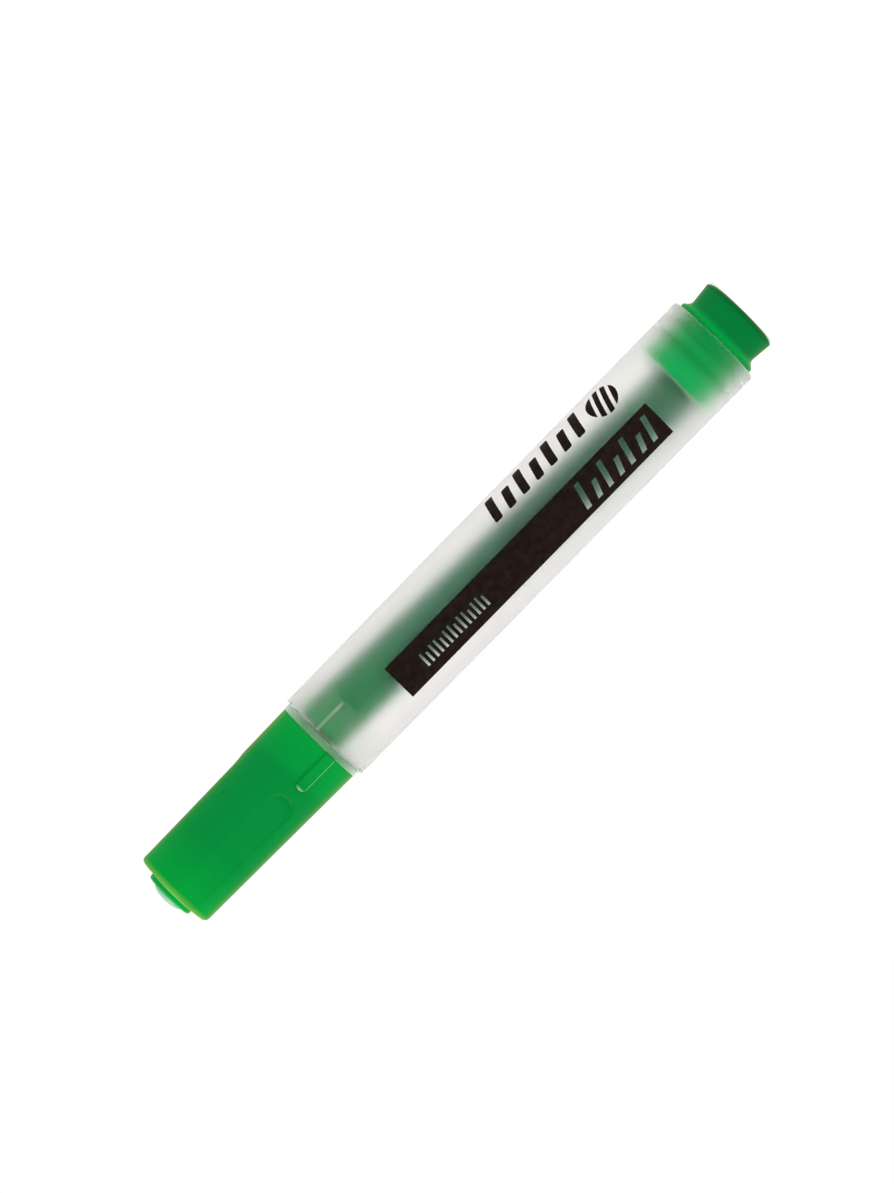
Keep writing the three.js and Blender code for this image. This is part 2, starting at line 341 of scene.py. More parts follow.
def mottled(tree, grain, dark, light, low=0.3, high=0.7):
    """A colour that drifts between two shades with the slow mottle."""
    return colour_ramp(tree, grain.outputs["Mottle"], -400, 400, [(low, dark), (high, light)])


def mixed(tree, low, high, factor, x, y, how="MIX"):
    """A colour mix. Each of its three inputs is a socket or a plain value."""
    blend = place(tree, "ShaderNodeMix", x, y, data_type="RGBA", blend_type=how)
    for name, value in (("A", low), ("B", high), ("Factor", factor)):
        if isinstance(value, bpy.types.NodeSocket):
            tree.links.new(value, blend.inputs[name])
        elif name == "Factor":
            blend.inputs[name].default_value = value
        else:
            blend.inputs[name].default_value = (*value, 1)
    return blend.outputs["Result"]


# %% [markdown]
# Where a finish changes over a piece, a mask says where: by height along the pen, by distance from
# its axis, or by how far a face is turned from the camera. Masks are multiplied, or the larger of
# two is taken.

# %% Masks
def spread(tree, value, low, high, x, y, to=(0.0, 1.0)):
    """A value stretched from one pair of limits to another, and held at the ends."""
    node = place(tree, "ShaderNodeMapRange", x, y)
    limits = {"From Min": low, "From Max": high, "To Min": to[0], "To Max": to[1]}
    for name, limit in limits.items():
        node.inputs[name].default_value = limit
    tree.links.new(value, node.inputs["Value"])
    return node.outputs["Result"]


def height_of(tree, coords, x, y):
    """How high a point lies, in metres."""
    split = place(tree, "ShaderNodeSeparateXYZ", x, y)
    tree.links.new(coords.outputs["Object"], split.inputs["Vector"])
    return split.outputs["Z"]


def height_fraction(tree, coords, low, high, x, y, to=(0.0, 1.0)):
    """How far up the pen a point lies between two heights in millimetres, from 0 to 1."""
    return spread(tree, height_of(tree, coords, x, y), low * MM, high * MM, x + 200, y, to)


def radius_fraction(tree, coords, low, high, x, y, to=(0.0, 1.0)):
    """How far out from the axis a point lies between two radii in millimetres, from 0 to 1."""
    flatten = place(tree, "ShaderNodeVectorMath", x, y, operation="MULTIPLY")
    flatten.inputs[1].default_value = (1, 1, 0)
    length = place(tree, "ShaderNodeVectorMath", x + 200, y, operation="LENGTH")
    tree.links.new(coords.outputs["Object"], flatten.inputs[0])
    tree.links.new(flatten.outputs["Vector"], length.inputs[0])
    return spread(tree, length.outputs["Value"], low * MM, high * MM, x + 400, y, to)


def silhouette(tree, start, x, y):
    """A mask that is 0 on faces that look at the camera and 1 on those seen edge-on."""
    weight = place(tree, "ShaderNodeLayerWeight", x, y)
    return spread(tree, weight.outputs["Facing"], start, 1.0, x + 200, y)


def calculated(tree, how, first, second, x, y):
    """A Math node on one mask and either another mask or a plain number."""
    node = place(tree, "ShaderNodeMath", x, y, operation=how)
    tree.links.new(first, node.inputs[0])
    if isinstance(second, bpy.types.NodeSocket):
        tree.links.new(second, node.inputs[1])
    else:
        node.inputs[1].default_value = second
    return node.outputs["Value"]


# %% [markdown]
# The cap is a strong mid green, satin and slightly translucent. In the middle, where dark ink parts
# lie behind it, it looks deeper; towards the closed end and the mouth light passes through it and it
# looks lighter. A ramp along the pen paints that shade and that light into the colour, and the mottle
# breaks it up a little. At the silhouette, where one looks along the wall through the thickest
# plastic, a painted olive shade darkens the edge. The rim of the closed end, facing the lamp above,
# gets a painted olive highlight, and the thin edge of the rib and the root of the boss get a painted
# pale highlight.

# %% Cap green
EDGE_SHADE_OLIVE = (0.12, 0.26, 0.02)
RIM_HIGHLIGHT_OLIVE = (0.09, 0.34, 0.03)
PALE_HIGHLIGHT_GREEN = (0.45, 0.72, 0.38)
GREEN_SPECULAR = 0.03
MOTTLE_SHARE = 0.05
RIB_HIGHLIGHT = 0.4
ROOT_HIGHLIGHT = 0.45


def rib_edge_highlight(tree, coords):
    """A mask for the cap rib's lower long edge and round end, which get a painted highlight."""
    across = place(tree, "ShaderNodeVectorMath", -1000, 1100, operation="DOT_PRODUCT")
    across.inputs[1].default_value = (math.cos(FRONT_GRIP_TURN), math.sin(FRONT_GRIP_TURN), 0)
    tree.links.new(coords.outputs["Object"], across.inputs[0])
    flank = -CAP_RIB_WIDTH / 2
    side = spread(
        tree, across.outputs["Value"], (flank + 0.25) * MM, (flank + 0.1) * MM, -800, 1100
    )
    end = height_fraction(tree, coords, CAP_RIB_TOP - 0.5, CAP_RIB_TOP - 0.2, -1000, 1400)
    either = calculated(tree, "MAXIMUM", side, end, -500, 1200)
    stands_out = radius_fraction(tree, coords, CAP_MOUTH_R, CAP_MOUTH_R + 0.06, -1000, 1600)
    return calculated(tree, "MULTIPLY", either, stands_out, -300, 1300)


def end_rim_highlight(tree, coords):
    """A mask for the outer rim of the cap's closed end, which gets a painted highlight."""
    high = height_fraction(tree, coords, CAP_TOP_Z - 1.0, CAP_TOP_Z - 0.2, -1000, 2500)
    out = radius_fraction(tree, coords, CAP_TOP_R - 1.0, CAP_TOP_R - 0.3, -1000, 2700)
    return calculated(tree, "MULTIPLY", high, out, -200, 2600)


def boss_root_highlight(tree, coords):
    """A mask for the thin ring where the boss stands on the closed end, painted as a highlight."""
    above = height_fraction(tree, coords, CAP_TOP_Z - 0.1, CAP_TOP_Z, -1000, 1900)
    below = height_fraction(tree, coords, CAP_TOP_Z + 0.3, CAP_TOP_Z + 0.2, -1000, 2100)
    near = radius_fraction(tree, coords, BOSS_R + 0.45, BOSS_R + 0.3, -1000, 2300)
    level = calculated(tree, "MULTIPLY", above, below, -200, 2000)
    return calculated(tree, "MULTIPLY", level, near, 0, 2100)


def cap_green():
    material, tree, shader, coords, grain = grained_material("green_cap", (0.36, 0.48), 0.12)
    shader.inputs["Specular IOR Level"].default_value = GREEN_SPECULAR
    # Painted shade in the middle, where dark parts lie behind the cap, and painted light towards both
    # ends.
    shades = [
        (cap_low.z, (0.0, 0.285, 0.038)),
        (CAP_STEP_Z - 2.5, (0.0, 0.25, 0.038)),
        (CAP_STEP_Z - 1.0, (0.0, 0.215, 0.036)),
        (CAP_TOP_Z - 9.0, (0.0, 0.22, 0.035)),
        (CAP_TOP_Z - 1.0, (0.0, 0.285, 0.034)),
        (CAP_TOP_Z + 0.1, (0.0, 0.36, 0.05)),
    ]
    length = cap_high.z - cap_low.z
    stops = [((at - cap_low.z) / length, shade) for at, shade in shades]
    along = height_fraction(tree, coords, cap_low.z, cap_high.z, -800, 400)
    plain = colour_ramp(tree, along, -400, 400, stops)
    worn = mixed(tree, plain, grain.outputs["Mottle"], MOTTLE_SHARE, -100, 400, "OVERLAY")
    # The closed end's rim gets a painted olive highlight.
    thick = mixed(tree, worn, RIM_HIGHLIGHT_OLIVE, end_rim_highlight(tree, coords), 0, 500)
    # Painted olive shade at the silhouette.
    olive = mixed(tree, thick, EDGE_SHADE_OLIVE, silhouette(tree, 0.56, -400, 700), 100, 500)
    # Painted pale highlight on the rib's lower edge and round end.
    rib_highlight = calculated(tree, "MULTIPLY", rib_edge_highlight(tree, coords), RIB_HIGHLIGHT, 300, 900)
    lit_rib = mixed(tree, olive, PALE_HIGHLIGHT_GREEN, rib_highlight, 300, 500)
    # Painted pale highlight at the root of the boss.
    root_highlight = calculated(tree, "MULTIPLY", boss_root_highlight(tree, coords), ROOT_HIGHLIGHT, 200, 2100)
    lit_root = mixed(tree, lit_rib, PALE_HIGHLIGHT_GREEN, root_highlight, 500, 500)
    tree.links.new(lit_root, shader.inputs["Base Color"])
    return material


CAP_GREEN = cap_green()
print("finish:", CAP_GREEN.name)

# %% [markdown]
# The tail plug is moulded from the same family of green but is a shade deeper, because it is a
# thicker piece. A painted shade darkens its chamfered end, which faces away from the lamps, and
# painted light brightens the flange next to the pale barrel. The thin skirt inside the barrel is
# lighter still, and its lips are a little deeper.

# %% Plug green
SKIRT_GREEN = (0.0, 0.46, 0.11)
LIP_GREEN = (0.0, 0.42, 0.07)


def plug_green():
    material, tree, shader, coords, grain = grained_material("green_plug", (0.32, 0.44), 0.12)
    shader.inputs["Specular IOR Level"].default_value = GREEN_SPECULAR
    up_head = height_fraction(tree, coords, plug_low.z, FLANGE_TOP, -800, 400)
    # Painted shade at the chamfered end, lightening to painted light at the flange.
    stops = [
        (0.0, (0.0, 0.095, 0.016)),
        (0.2, (0.0, 0.17, 0.034)),
        (0.72, (0.0, 0.185, 0.038)),
        (0.85, (0.0, 0.28, 0.045)),
        (1.0, (0.0, 0.30, 0.05)),
    ]
    head = colour_ramp(tree, up_head, -400, 400, stops)
    lips = radius_fraction(tree, coords, SKIRT_R + 0.1, LIP_R - 0.4, -1000, 1000)
    skirt = mixed(tree, SKIRT_GREEN, LIP_GREEN, lips, -300, 900)
    inside = height_fraction(tree, coords, FLANGE_TOP, FLANGE_TOP + 0.2, -800, 700)
    both = mixed(tree, head, skirt, inside, -100, 600)
    worn = mixed(tree, both, grain.outputs["Mottle"], MOTTLE_SHARE, 0, 400, "OVERLAY")
    # Painted olive shade at the silhouette.
    olive = mixed(tree, worn, EDGE_SHADE_OLIVE, silhouette(tree, 0.7, -400, 1300), 200, 500)
    tree.links.new(olive, shader.inputs["Base Color"])
    return material


PLUG_GREEN = plug_green()
print("finish:", PLUG_GREEN.name)

# %% [markdown]
# The barrel is uncoloured polypropylene, frosted above all on the inside. Rough transmission does
# exactly what frosting does: light comes through but is scattered, so what touches the wall is seen
# clearly and what lies deeper is blurred. The specular tint is dark, because a frosted surface
# doesn't mirror the sky. The outer surface is smoother than the bore, and where a lip of the plug
# presses on the wall the frosting is a little clearer. The front end face fades with the alpha, so
# that it leaves no dark ring against the collar.

# %% Frosted barrel
OUTER_SHARE = 0.55
PRESSED_SHARE = 0.7
FRONT_ALPHA = 0.2


def pressed_by_lip(tree, coords, tip, y):
    """A factor that dips where a lip presses on the wall."""
    level = height_of(tree, coords, -1200, y)
    offset = calculated(tree, "SUBTRACT", level, (tip - 0.1) * MM, -1000, y)
    distance = calculated(tree, "ABSOLUTE", offset, 0.0, -800, y)
    return spread(tree, distance, 0.1 * MM, 0.6 * MM, -600, y, to=(PRESSED_SHARE, 1.0))


def frosted_plastic():
    material, tree, shader, coords, grain = grained_material(
        "frosted_barrel", (0.66, 0.72), 0.0, mottle_scale=260.0
    )
    shader.inputs["IOR"].default_value = 1.34
    shader.inputs["Specular Tint"].default_value = (0.1, 0.1, 0.1, 1)
    shader.inputs["Transmission Weight"].default_value = 1.0
    colour = mottled(tree, grain, (0.952, 0.942, 0.924), (0.974, 0.965, 0.95))
    tree.links.new(colour, shader.inputs["Base Color"])
    bore = BARREL_TAIL_R - BARREL_WALL
    frost = radius_fraction(tree, coords, bore + 0.6, bore + 0.2, -1000, 700, (OUTER_SHARE, 1.0))
    rough = calculated(tree, "MULTIPLY", frost, grain.outputs["Roughness"], -300, 700)
    for tip in LIP_TIPS:
        pressed = pressed_by_lip(tree, coords, tip, 900 + 20 * tip)
        rough = calculated(tree, "MULTIPLY", rough, pressed, -200, 900 + 20 * tip)
    tree.links.new(rough, shader.inputs["Roughness"])
    fade_from = barrel_high.z - 0.4
    front = height_fraction(
        tree, coords, fade_from, barrel_high.z, -1000, -900, (1.0, FRONT_ALPHA)
    )
    tree.links.new(front, shader.inputs["Alpha"])
    return material


FROSTED_BARREL = frosted_plastic()
print("finish:", FROSTED_BARREL.name)

# %% [markdown]
# The nib holder is the same uncoloured plastic, tinted a little by the ink behind it. Where it is
# thick, from the collar upwards, it is solid, and a painted milky sheen lightens it where it is seen
# edge-on. Its spigot has a wall of a quarter of a millimetre, and a wall that thin is almost
# invisible: there the alpha drops to a trace, and only the ribs on it show faintly. The cap's liner
# is a pale mint, translucent and shiny.

# %% Nib holder and liner
MILKY_SHEEN = (0.80, 0.88, 0.78)
MILKY_RIB = (0.80, 0.88, 0.80)
RIB_ALPHA = 0.35
SPIGOT_ALPHA = 0.05


def natural_plastic():
    material, tree, shader, coords, grain = grained_material("uncoloured_plastic", (0.3, 0.4), 0.1)
    shader.inputs["Transmission Weight"].default_value = 0.3
    shader.inputs["IOR"].default_value = 1.3
    shader.inputs["Specular IOR Level"].default_value = 0.2
    inked = mottled(tree, grain, (0.13, 0.36, 0.17), (0.18, 0.42, 0.22))
    # Painted milky sheen where the holder is seen edge-on.
    pale = mixed(tree, inked, MILKY_SHEEN, silhouette(tree, 0.15, -400, 700), 0, 500)
    inside = height_fraction(tree, coords, barrel_high.z, barrel_high.z - 0.2, -800, 1000)
    colour = mixed(tree, pale, MILKY_RIB, inside, 200, 700)
    tree.links.new(colour, shader.inputs["Base Color"])
    thick = height_fraction(tree, coords, barrel_high.z - 0.2, barrel_high.z, -800, -600)
    ribs = radius_fraction(tree, coords, SPIGOT_R, SPIGOT_R + 0.1, -1000, -900, (0.0, RIB_ALPHA))
    solid = calculated(tree, "MAXIMUM", thick, ribs, -400, -700)
    alpha = spread(tree, solid, 0.0, 1.0, -200, -600, (SPIGOT_ALPHA, 1.0))
    tree.links.new(alpha, shader.inputs["Alpha"])
    return material


def liner_mint():
    material, tree, shader, _, grain = grained_material("mint_liner", (0.28, 0.4), 0.1)
    shader.inputs["Subsurface Weight"].default_value = 0.25
    shader.inputs["Subsurface Scale"].default_value = 1.0 * MM
    colour = mottled(tree, grain, (0.21, 0.41, 0.26), (0.25, 0.46, 0.30))
    tree.links.new(colour, shader.inputs["Base Color"])
    return material


NATURAL_PLASTIC = natural_plastic()
LINER_MINT = liner_mint()
print("finishes:", NATURAL_PLASTIC.name, LINER_MINT.name)

# %% [markdown]
# The nib and the reservoir are bundles of fibres that run along the pen, so their noise is squeezed
# across the axis and stretched along it: thin streaks, dark where the ink sits between the fibres.
# The reservoir is a clearer green near the nib.

# %% Fibre finishes
def fibre_material(name, colours, across, along, bump, rough):
    """Streaks along the pen over a colour that changes from the tail end to the nib end."""
    material, tree, shader, coords, _ = grained_material(name, rough, bump)
    shader.inputs["Specular IOR Level"].default_value = 0.1
    squeeze = place(tree, "ShaderNodeMapping", -900, 500)
    squeeze.inputs["Scale"].default_value = (across, across, along)
    streaks = place(tree, "ShaderNodeTexNoise", -700, 500)
    streaks.inputs["Scale"].default_value = 1.0
    streaks.inputs["Detail"].default_value = 5.0
    tree.links.new(coords.outputs["Object"], squeeze.inputs["Vector"])
    tree.links.new(squeeze.outputs["Vector"], streaks.inputs["Vector"])
    tree.links.new(streaks.outputs["Fac"], tree.nodes["Bump"].inputs["Height"])
    greys = [(0.3, (0.6, 0.6, 0.6)), (0.7, (1.0, 1.0, 1.0))]
    shade = colour_ramp(tree, streaks.outputs["Fac"], -400, 500, greys)
    up_pen = height_fraction(tree, coords, plug_high.z, barrel_high.z, -900, 800)
    colour = colour_ramp(tree, up_pen, -400, 800, colours)
    inked = mixed(tree, colour, shade, 1.0, 0, 600, "MULTIPLY")
    tree.links.new(inked, shader.inputs["Base Color"])
    return material


NIB_FELT = fibre_material(
    "green_felt",
    colours=[(0.0, (0.10, 0.60, 0.16)), (1.0, (0.10, 0.62, 0.16))],
    across=7000,
    along=900,
    bump=0.7,
    rough=(0.75, 0.95),
)
INKED_FIBRE = fibre_material(
    "green_fibre",
    colours=[
        (0.0, (0.13, 0.38, 0.23)),
        (0.4, (0.125, 0.325, 0.228)),
        (0.7, (0.12, 0.375, 0.235)),
        (0.9, (0.02, 0.41, 0.15)),
        (1.0, (0.0, 0.57, 0.13)),
    ],
    across=6000,
    along=260,
    bump=0.6,
    rough=(0.7, 0.9),
)
print("finishes:", NIB_FELT.name, INKED_FIBRE.name)

# %% [markdown]
# The reservoir's wrap is clear film a seventh of a millimetre thick, wet with ink from inside. It is
# almost all transmission, and smoother than anything else in the pen.

# %% Wrap film
def wrap_film():
    material, tree, shader, _, grain = grained_material("wrap_film", (0.12, 0.25), 0.15)
    shader.inputs["Transmission Weight"].default_value = 0.97
    shader.inputs["IOR"].default_value = 1.15
    shader.inputs["Specular Tint"].default_value = (0.2, 0.2, 0.2, 1)
    colour = mottled(tree, grain, (0.70, 0.92, 0.80), (0.82, 0.96, 0.88))
    tree.links.new(colour, shader.inputs["Base Color"])
    return material


WRAP_FILM = wrap_film()
print("finish:", WRAP_FILM.name)

# %% [markdown]
# The print is a film of screen ink, near black and slightly brown. Screen ink dries with a fine
# orange-peel surface and tiny lighter specks where it is thin.

# %% Screen ink
def screen_ink():
    material, tree, shader, _, grain = grained_material(
        "screen_ink", (0.34, 0.5), 0.3, grain_scale=6500.0, mottle_scale=900.0
    )
    shader.inputs["Specular IOR Level"].default_value = 0.03
    colour = mottled(tree, grain, (0.008, 0.004, 0.003), (0.018, 0.011, 0.008), 0.35, 0.75)
    tree.links.new(colour, shader.inputs["Base Color"])
    return material


SCREEN_INK = screen_ink()
print("finish:", SCREEN_INK.name)

# %% [markdown]
# ## The writing unit
# The barrel is a plain tube, a little wider at the tail, with a softened outer edge at the tail and
# a lead-in inside it where the plug goes in.

# %% Barrel
LEAD_IN = 0.3
barrel = turn(
    "barrel_tube",
    [
        (BARREL_TAIL_R - BARREL_WALL + LEAD_IN, barrel_low.z, 0.1),
        (BARREL_TAIL_R, barrel_low.z, 0.5),
        (BARREL_FRONT_R, barrel_high.z, 0.18),
        (BARREL_FRONT_R - BARREL_WALL, barrel_high.z, 0.08),
        (BARREL_TAIL_R - BARREL_WALL, barrel_low.z + LEAD_IN, 0),
    ],
    hollow=True,
)
finish(barrel, "writing_unit", FROSTED_BARREL, "barrel")

# %% [markdown]
# The tail plug is one moulding with three jobs. Its head outside is a finger grip with a waist, the
# flange covers the mouth of the barrel, and the skirt inside carries two thin lips that lean towards
# the reservoir and seal against the wall. It is hollow from the inside, like most end plugs.

# %% Tail plug
FOOT_R = 5.5
HEAD_R = 6.6
WAIST_R = 6.22
WAIST_Z = plug_low.z + 4.35
FLANGE_R = 7.2
SKIRT_WALL = 1.2
LIP_RISE = 0.9
LIP_ROOT = 0.75


def sealing_lip(root, tip):
    return [
        (SKIRT_R, root, 0.15),
        (LIP_R, tip - 0.12, 0.04),
        (LIP_R, tip, 0.04),
        (SKIRT_R, root + LIP_ROOT, 0.2),
    ]


plug = turn(
    "end_plug",
    [
        (FOOT_R, plug_low.z, 0.06),
        (HEAD_R - 0.25, plug_low.z + 0.3, 0.08),
        (HEAD_R, plug_low.z + 0.6, 0.1),
        (WAIST_R, WAIST_Z, 0.5),
        (FLANGE_R, FLANGE_TOP - 0.6, 0.12),
        (FLANGE_R, FLANGE_TOP, 0.28),
        (SKIRT_R, FLANGE_TOP, 0.1),
        *[corner for tip in LIP_TIPS for corner in sealing_lip(tip - LIP_RISE, tip)],
        (SKIRT_R, plug_high.z, 0.3),
        (SKIRT_R - SKIRT_WALL, plug_high.z, 0.2),
        (SKIRT_R - SKIRT_WALL - 0.1, plug_low.z + 2.0, 0.4),
    ],
    hollow=False,
)
finish(plug, "writing_unit", PLUG_GREEN, "tail_plug")

# %% [markdown]
# The nib holder is the pen's front section: spigot, collar, neck with its snap bead, cone and nose.
# It is turned as one stepped tube, then six thin crush ribs are welded onto its spigot, to grip the
# barrel, and four grooves are cut along its bore, to let air back into the reservoir as the ink runs
# out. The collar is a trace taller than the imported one, to close the gap that the rounding of the
# cap's mouth would leave.

# %% Nib holder
def radial_block(width, low, high, inner, outer, angle, rounding=0.0):
    """A block that stands on the pen's surface: width runs round the pen."""
    bpy.ops.object.select_all(action="DESELECT")
    bpy.ops.mesh.primitive_cube_add(
        size=1, location=(0, -(inner + outer) / 2, (low + high) / 2)
    )
    block = bpy.context.object
    block.scale = (width, outer - inner, high - low)
    fix_in_place()
    if rounding:
        bpy.ops.object.mode_set(mode="EDIT")
        bpy.ops.mesh.select_all(action="SELECT")
        bpy.ops.mesh.bevel(offset=rounding, segments=2, affect="EDGES")
        bpy.ops.object.mode_set(mode="OBJECT")
    return turned_about_axis(block, angle)


SPIGOT_Z = holder_low.z
SPIGOT_BORE = 6.02
SEAT_Z = barrel_high.z + 0.05
COLLAR_LENGTH = 1.0
COLLAR_TOP = barrel_high.z + COLLAR_LENGTH
COLLAR_EXTRA = 0.08
NECK_R = 6.0
BEAD_R = NECK_R + 0.25
NOSE_R = 4.25
NOSE_TIP_R = 3.6
NIB_R = nib_high.x
NIB_BORE = NIB_R + 0.05
CRUSH_RIBS = 6
CRUSH_RIB_START = math.radians(13.7)
CRUSH_RIB_WIDTH = 0.5
CRUSH_RIB_R = BARREL_FRONT_R - BARREL_WALL - 0.05
VENTS = 4
VENT_WIDTH = 0.8
holder = turn(
    "front_section",
    [
        (SPIGOT_BORE, SPIGOT_Z, 0.05),
        (SPIGOT_R, SPIGOT_Z, 0.15),
        (SPIGOT_R, SEAT_Z, 0),
        (COLLAR_R, SEAT_Z, 0.12),
        (COLLAR_R, COLLAR_TOP + COLLAR_EXTRA, 0.08),
        (NECK_R, COLLAR_TOP + COLLAR_EXTRA, 0.1),
        (NECK_R, COLLAR_TOP + 3.2, 0.15),
        (BEAD_R, COLLAR_TOP + 3.7, 0.15),
        (BEAD_R, COLLAR_TOP + 4.1, 0.15),
        (NECK_R, COLLAR_TOP + 4.6, 0.15),
        (NECK_R, COLLAR_TOP + 7.3, 0.4),
        (NOSE_R, COLLAR_TOP + 9.5, 0.5),
        (NOSE_R, COLLAR_TOP + 12.5, 0.3),
        (NOSE_TIP_R, holder_high.z, 0.25),
        (NIB_BORE, holder_high.z, 0.05),
        (NIB_BORE, barrel_high.z + 1.9, 0.1),
        (SPIGOT_BORE, barrel_high.z + 0.5, 0.1),
    ],
    hollow=True,
)
for i in range(CRUSH_RIBS):
    turn_by = CRUSH_RIB_START + i * math.tau / CRUSH_RIBS
    low, high = SPIGOT_Z + 0.5, SEAT_Z - 0.05
    rib = radial_block(CRUSH_RIB_WIDTH, low, high, SPIGOT_R - 0.12, CRUSH_RIB_R, turn_by, 0.05)
    merge(holder, rib, "UNION")
for i in range(VENTS):
    turn_by = (i + 0.5) * math.tau / VENTS
    low, high = SEAT_Z - 1, holder_high.z + 1
    groove = radial_block(VENT_WIDTH, low, high, NIB_BORE - 0.6, NIB_BORE + 0.35, turn_by)
    merge(holder, groove, "DIFFERENCE")
finish(holder, "writing_unit", NATURAL_PLASTIC, "nib_holder")

# %% [markdown]
# The nib is a felt rod. A chisel nib is cut, not moulded, so it is made the same way here: a
# cylinder is cut by one sloping plane on each cheek and by a slanted plane across the edge.

# %% Nib
NIB_EDGE_HALF = 0.6
CHEEK_LENGTH = 4.2
SLANT_DROP = 1.7


def slice_off(point, normal):
    """Cut the active piece with a plane in edit mode, drop what is outside and close the cut."""
    bpy.ops.mesh.select_all(action="SELECT")
    bpy.ops.mesh.bisect(plane_co=point, plane_no=normal, use_fill=True, clear_outer=True)


bpy.ops.object.select_all(action="DESELECT")
bpy.ops.mesh.primitive_cylinder_add(
    vertices=96,
    radius=NIB_R,
    depth=nib_high.z - nib_low.z,
    location=(0, 0, (nib_high.z + nib_low.z) / 2),
)
nib = bpy.context.object
nib.name = "felt_nib"
fix_in_place()
bpy.ops.object.mode_set(mode="EDIT")
for side in (-1, 1):
    across = NIB_R - NIB_EDGE_HALF
    slice_off((0, side * NIB_EDGE_HALF, nib_high.z), (0, side * CHEEK_LENGTH, across))
slice_off((-NIB_R, 0, nib_high.z), (SLANT_DROP, 0, 2 * NIB_R))
bpy.ops.object.mode_set(mode="OBJECT")
soften(nib, 0.22, steps=3)
finish(nib, "writing_unit", NIB_FELT, "nib")

# %% [markdown]
# The reservoir is a fibre rod in a film sleeve. It is loose in the barrel and lies askew, its front
# end against one side of the bore and its rear end against the other. Both pieces are made upright
# round their own middle and then leaned over together by the same matrix.

# %% Reservoir
RESERVOIR_R = 4.1
RESERVOIR_HALF = 37.1
FILM = 0.15
LEAN = Vector((0.0295, -0.031, 1)).normalized()
RESERVOIR_MID = Vector((0.07, 0.05, 52.05))
LEAN_OVER = Vector((0, 0, 1)).rotation_difference(LEAN).to_matrix().to_4x4()
RESERVOIR_PLACE = Matrix.Translation(RESERVOIR_MID) @ LEAN_OVER


def lean_over(piece):
    select_only(piece)
    piece.matrix_world = RESERVOIR_PLACE
    fix_in_place()
    return piece


ROD_SIDES = 128
CORE_R = RESERVOIR_R - FILM - 0.05
core = turn(
    "fibre_core",
    [(CORE_R, -RESERVOIR_HALF, 0.6), (CORE_R, RESERVOIR_HALF, 0.6)],
    hollow=False,
    sides=ROD_SIDES,
)
lean_over(core)
finish(core, "writing_unit", INKED_FIBRE, "reservoir_core")

SLEEVE_HALF = RESERVOIR_HALF - 0.8
sleeve = turn(
    "film_sleeve",
    [
        (RESERVOIR_R - FILM, -SLEEVE_HALF, 0.03),
        (RESERVOIR_R, -SLEEVE_HALF, 0.03),
        (RESERVOIR_R, SLEEVE_HALF, 0.03),
        (RESERVOIR_R - FILM, SLEEVE_HALF, 0.03),
    ],
    hollow=True,
    sides=ROD_SIDES,
    bevel_steps=1,
)
lean_over(sleeve)
finish(sleeve, "writing_unit", WRAP_FILM, "reservoir_film")

# %% [markdown]
# ## The cap
# The cap is turned first as a plain tapered cup with a boss on its closed end. Three finger flats
# are then cut from the closed end down to a half-round end, and one short rib is welded on at the
# mouth, in line with the front flat, so that the pen doesn't roll off a desk. The flats and the rib
# share one tool shape: half a cylinder that points outwards, whose flat side is drawn out into a
# strip. A shallow dimple on the side is the mark of the injection gate.

# %% Cap
def tongue(width, low, high, inner, outer, angle, round_end):
    """A strip that points outwards from the axis, with a half-round end at 'low' or 'high'."""
    half = width / 2
    centre = low + half if round_end == "low" else high - half
    away = 1 if round_end == "low" else -1
    bpy.ops.object.select_all(action="DESELECT")
    bpy.ops.mesh.primitive_cylinder_add(
        vertices=64,
        radius=half,
        depth=outer - inner,
        location=(0, -(inner + outer) / 2, centre),
        rotation=(math.pi / 2, 0, 0),
    )
    strip = bpy.context.object
    fix_in_place()
    bpy.ops.object.mode_set(mode="EDIT")
    slice_off((0, 0, centre), (0, 0, away))
    draw_out = (0, 0, away * (high - low - half))
    bpy.ops.mesh.extrude_region_move(TRANSFORM_OT_translate={"value": draw_out})
    bpy.ops.mesh.select_all(action="SELECT")
    bpy.ops.mesh.normals_make_consistent(inside=False)
    bpy.ops.object.mode_set(mode="OBJECT")
    return turned_about_axis(strip, angle)


STEM_HOLE_R = 2.75
CAP_BORE_R = 6.5
CAP_HEAD_BORE_R = 5.6
CAP_CEILING_Z = CAP_TOP_Z - 2.2
SNAP_Z = 93.2
SNAP_R = CAP_BORE_R - 0.2
FLAT_WIDTH = 5.3
FLAT_LOW = 99.7
FLAT_R = 6.45
FLAT_TOOL_R = 8.2
GATE_R = 7.2
GATE_SIDE = 5.1
GATE_Z = 106.0
cap = turn(
    "cap_outer",
    [
        (CAP_BORE_R + 0.2, cap_low.z, 0.1),
        (CAP_MOUTH_R, cap_low.z, 0.08),
        (CAP_TOP_R, CAP_TOP_Z, 0.8),
        (BOSS_R, CAP_TOP_Z, 0.3),
        (BOSS_R, cap_high.z, 0.45),
        (STEM_HOLE_R, cap_high.z, 0.06),
        (STEM_HOLE_R, CAP_CEILING_Z, 0),
        (CAP_HEAD_BORE_R, CAP_CEILING_Z, 0.4),
        (CAP_HEAD_BORE_R, CAP_STEP_Z + 0.8, 0.2),
        (CAP_BORE_R, CAP_STEP_Z, 0.2),
        (CAP_BORE_R, SNAP_Z + 0.5, 0.1),
        (SNAP_R, SNAP_Z + 0.1, 0.1),
        (SNAP_R, SNAP_Z - 0.1, 0.1),
        (CAP_BORE_R, SNAP_Z - 0.5, 0.1),
        (CAP_BORE_R, cap_low.z + 0.4, 0.1),
    ],
    hollow=True,
)
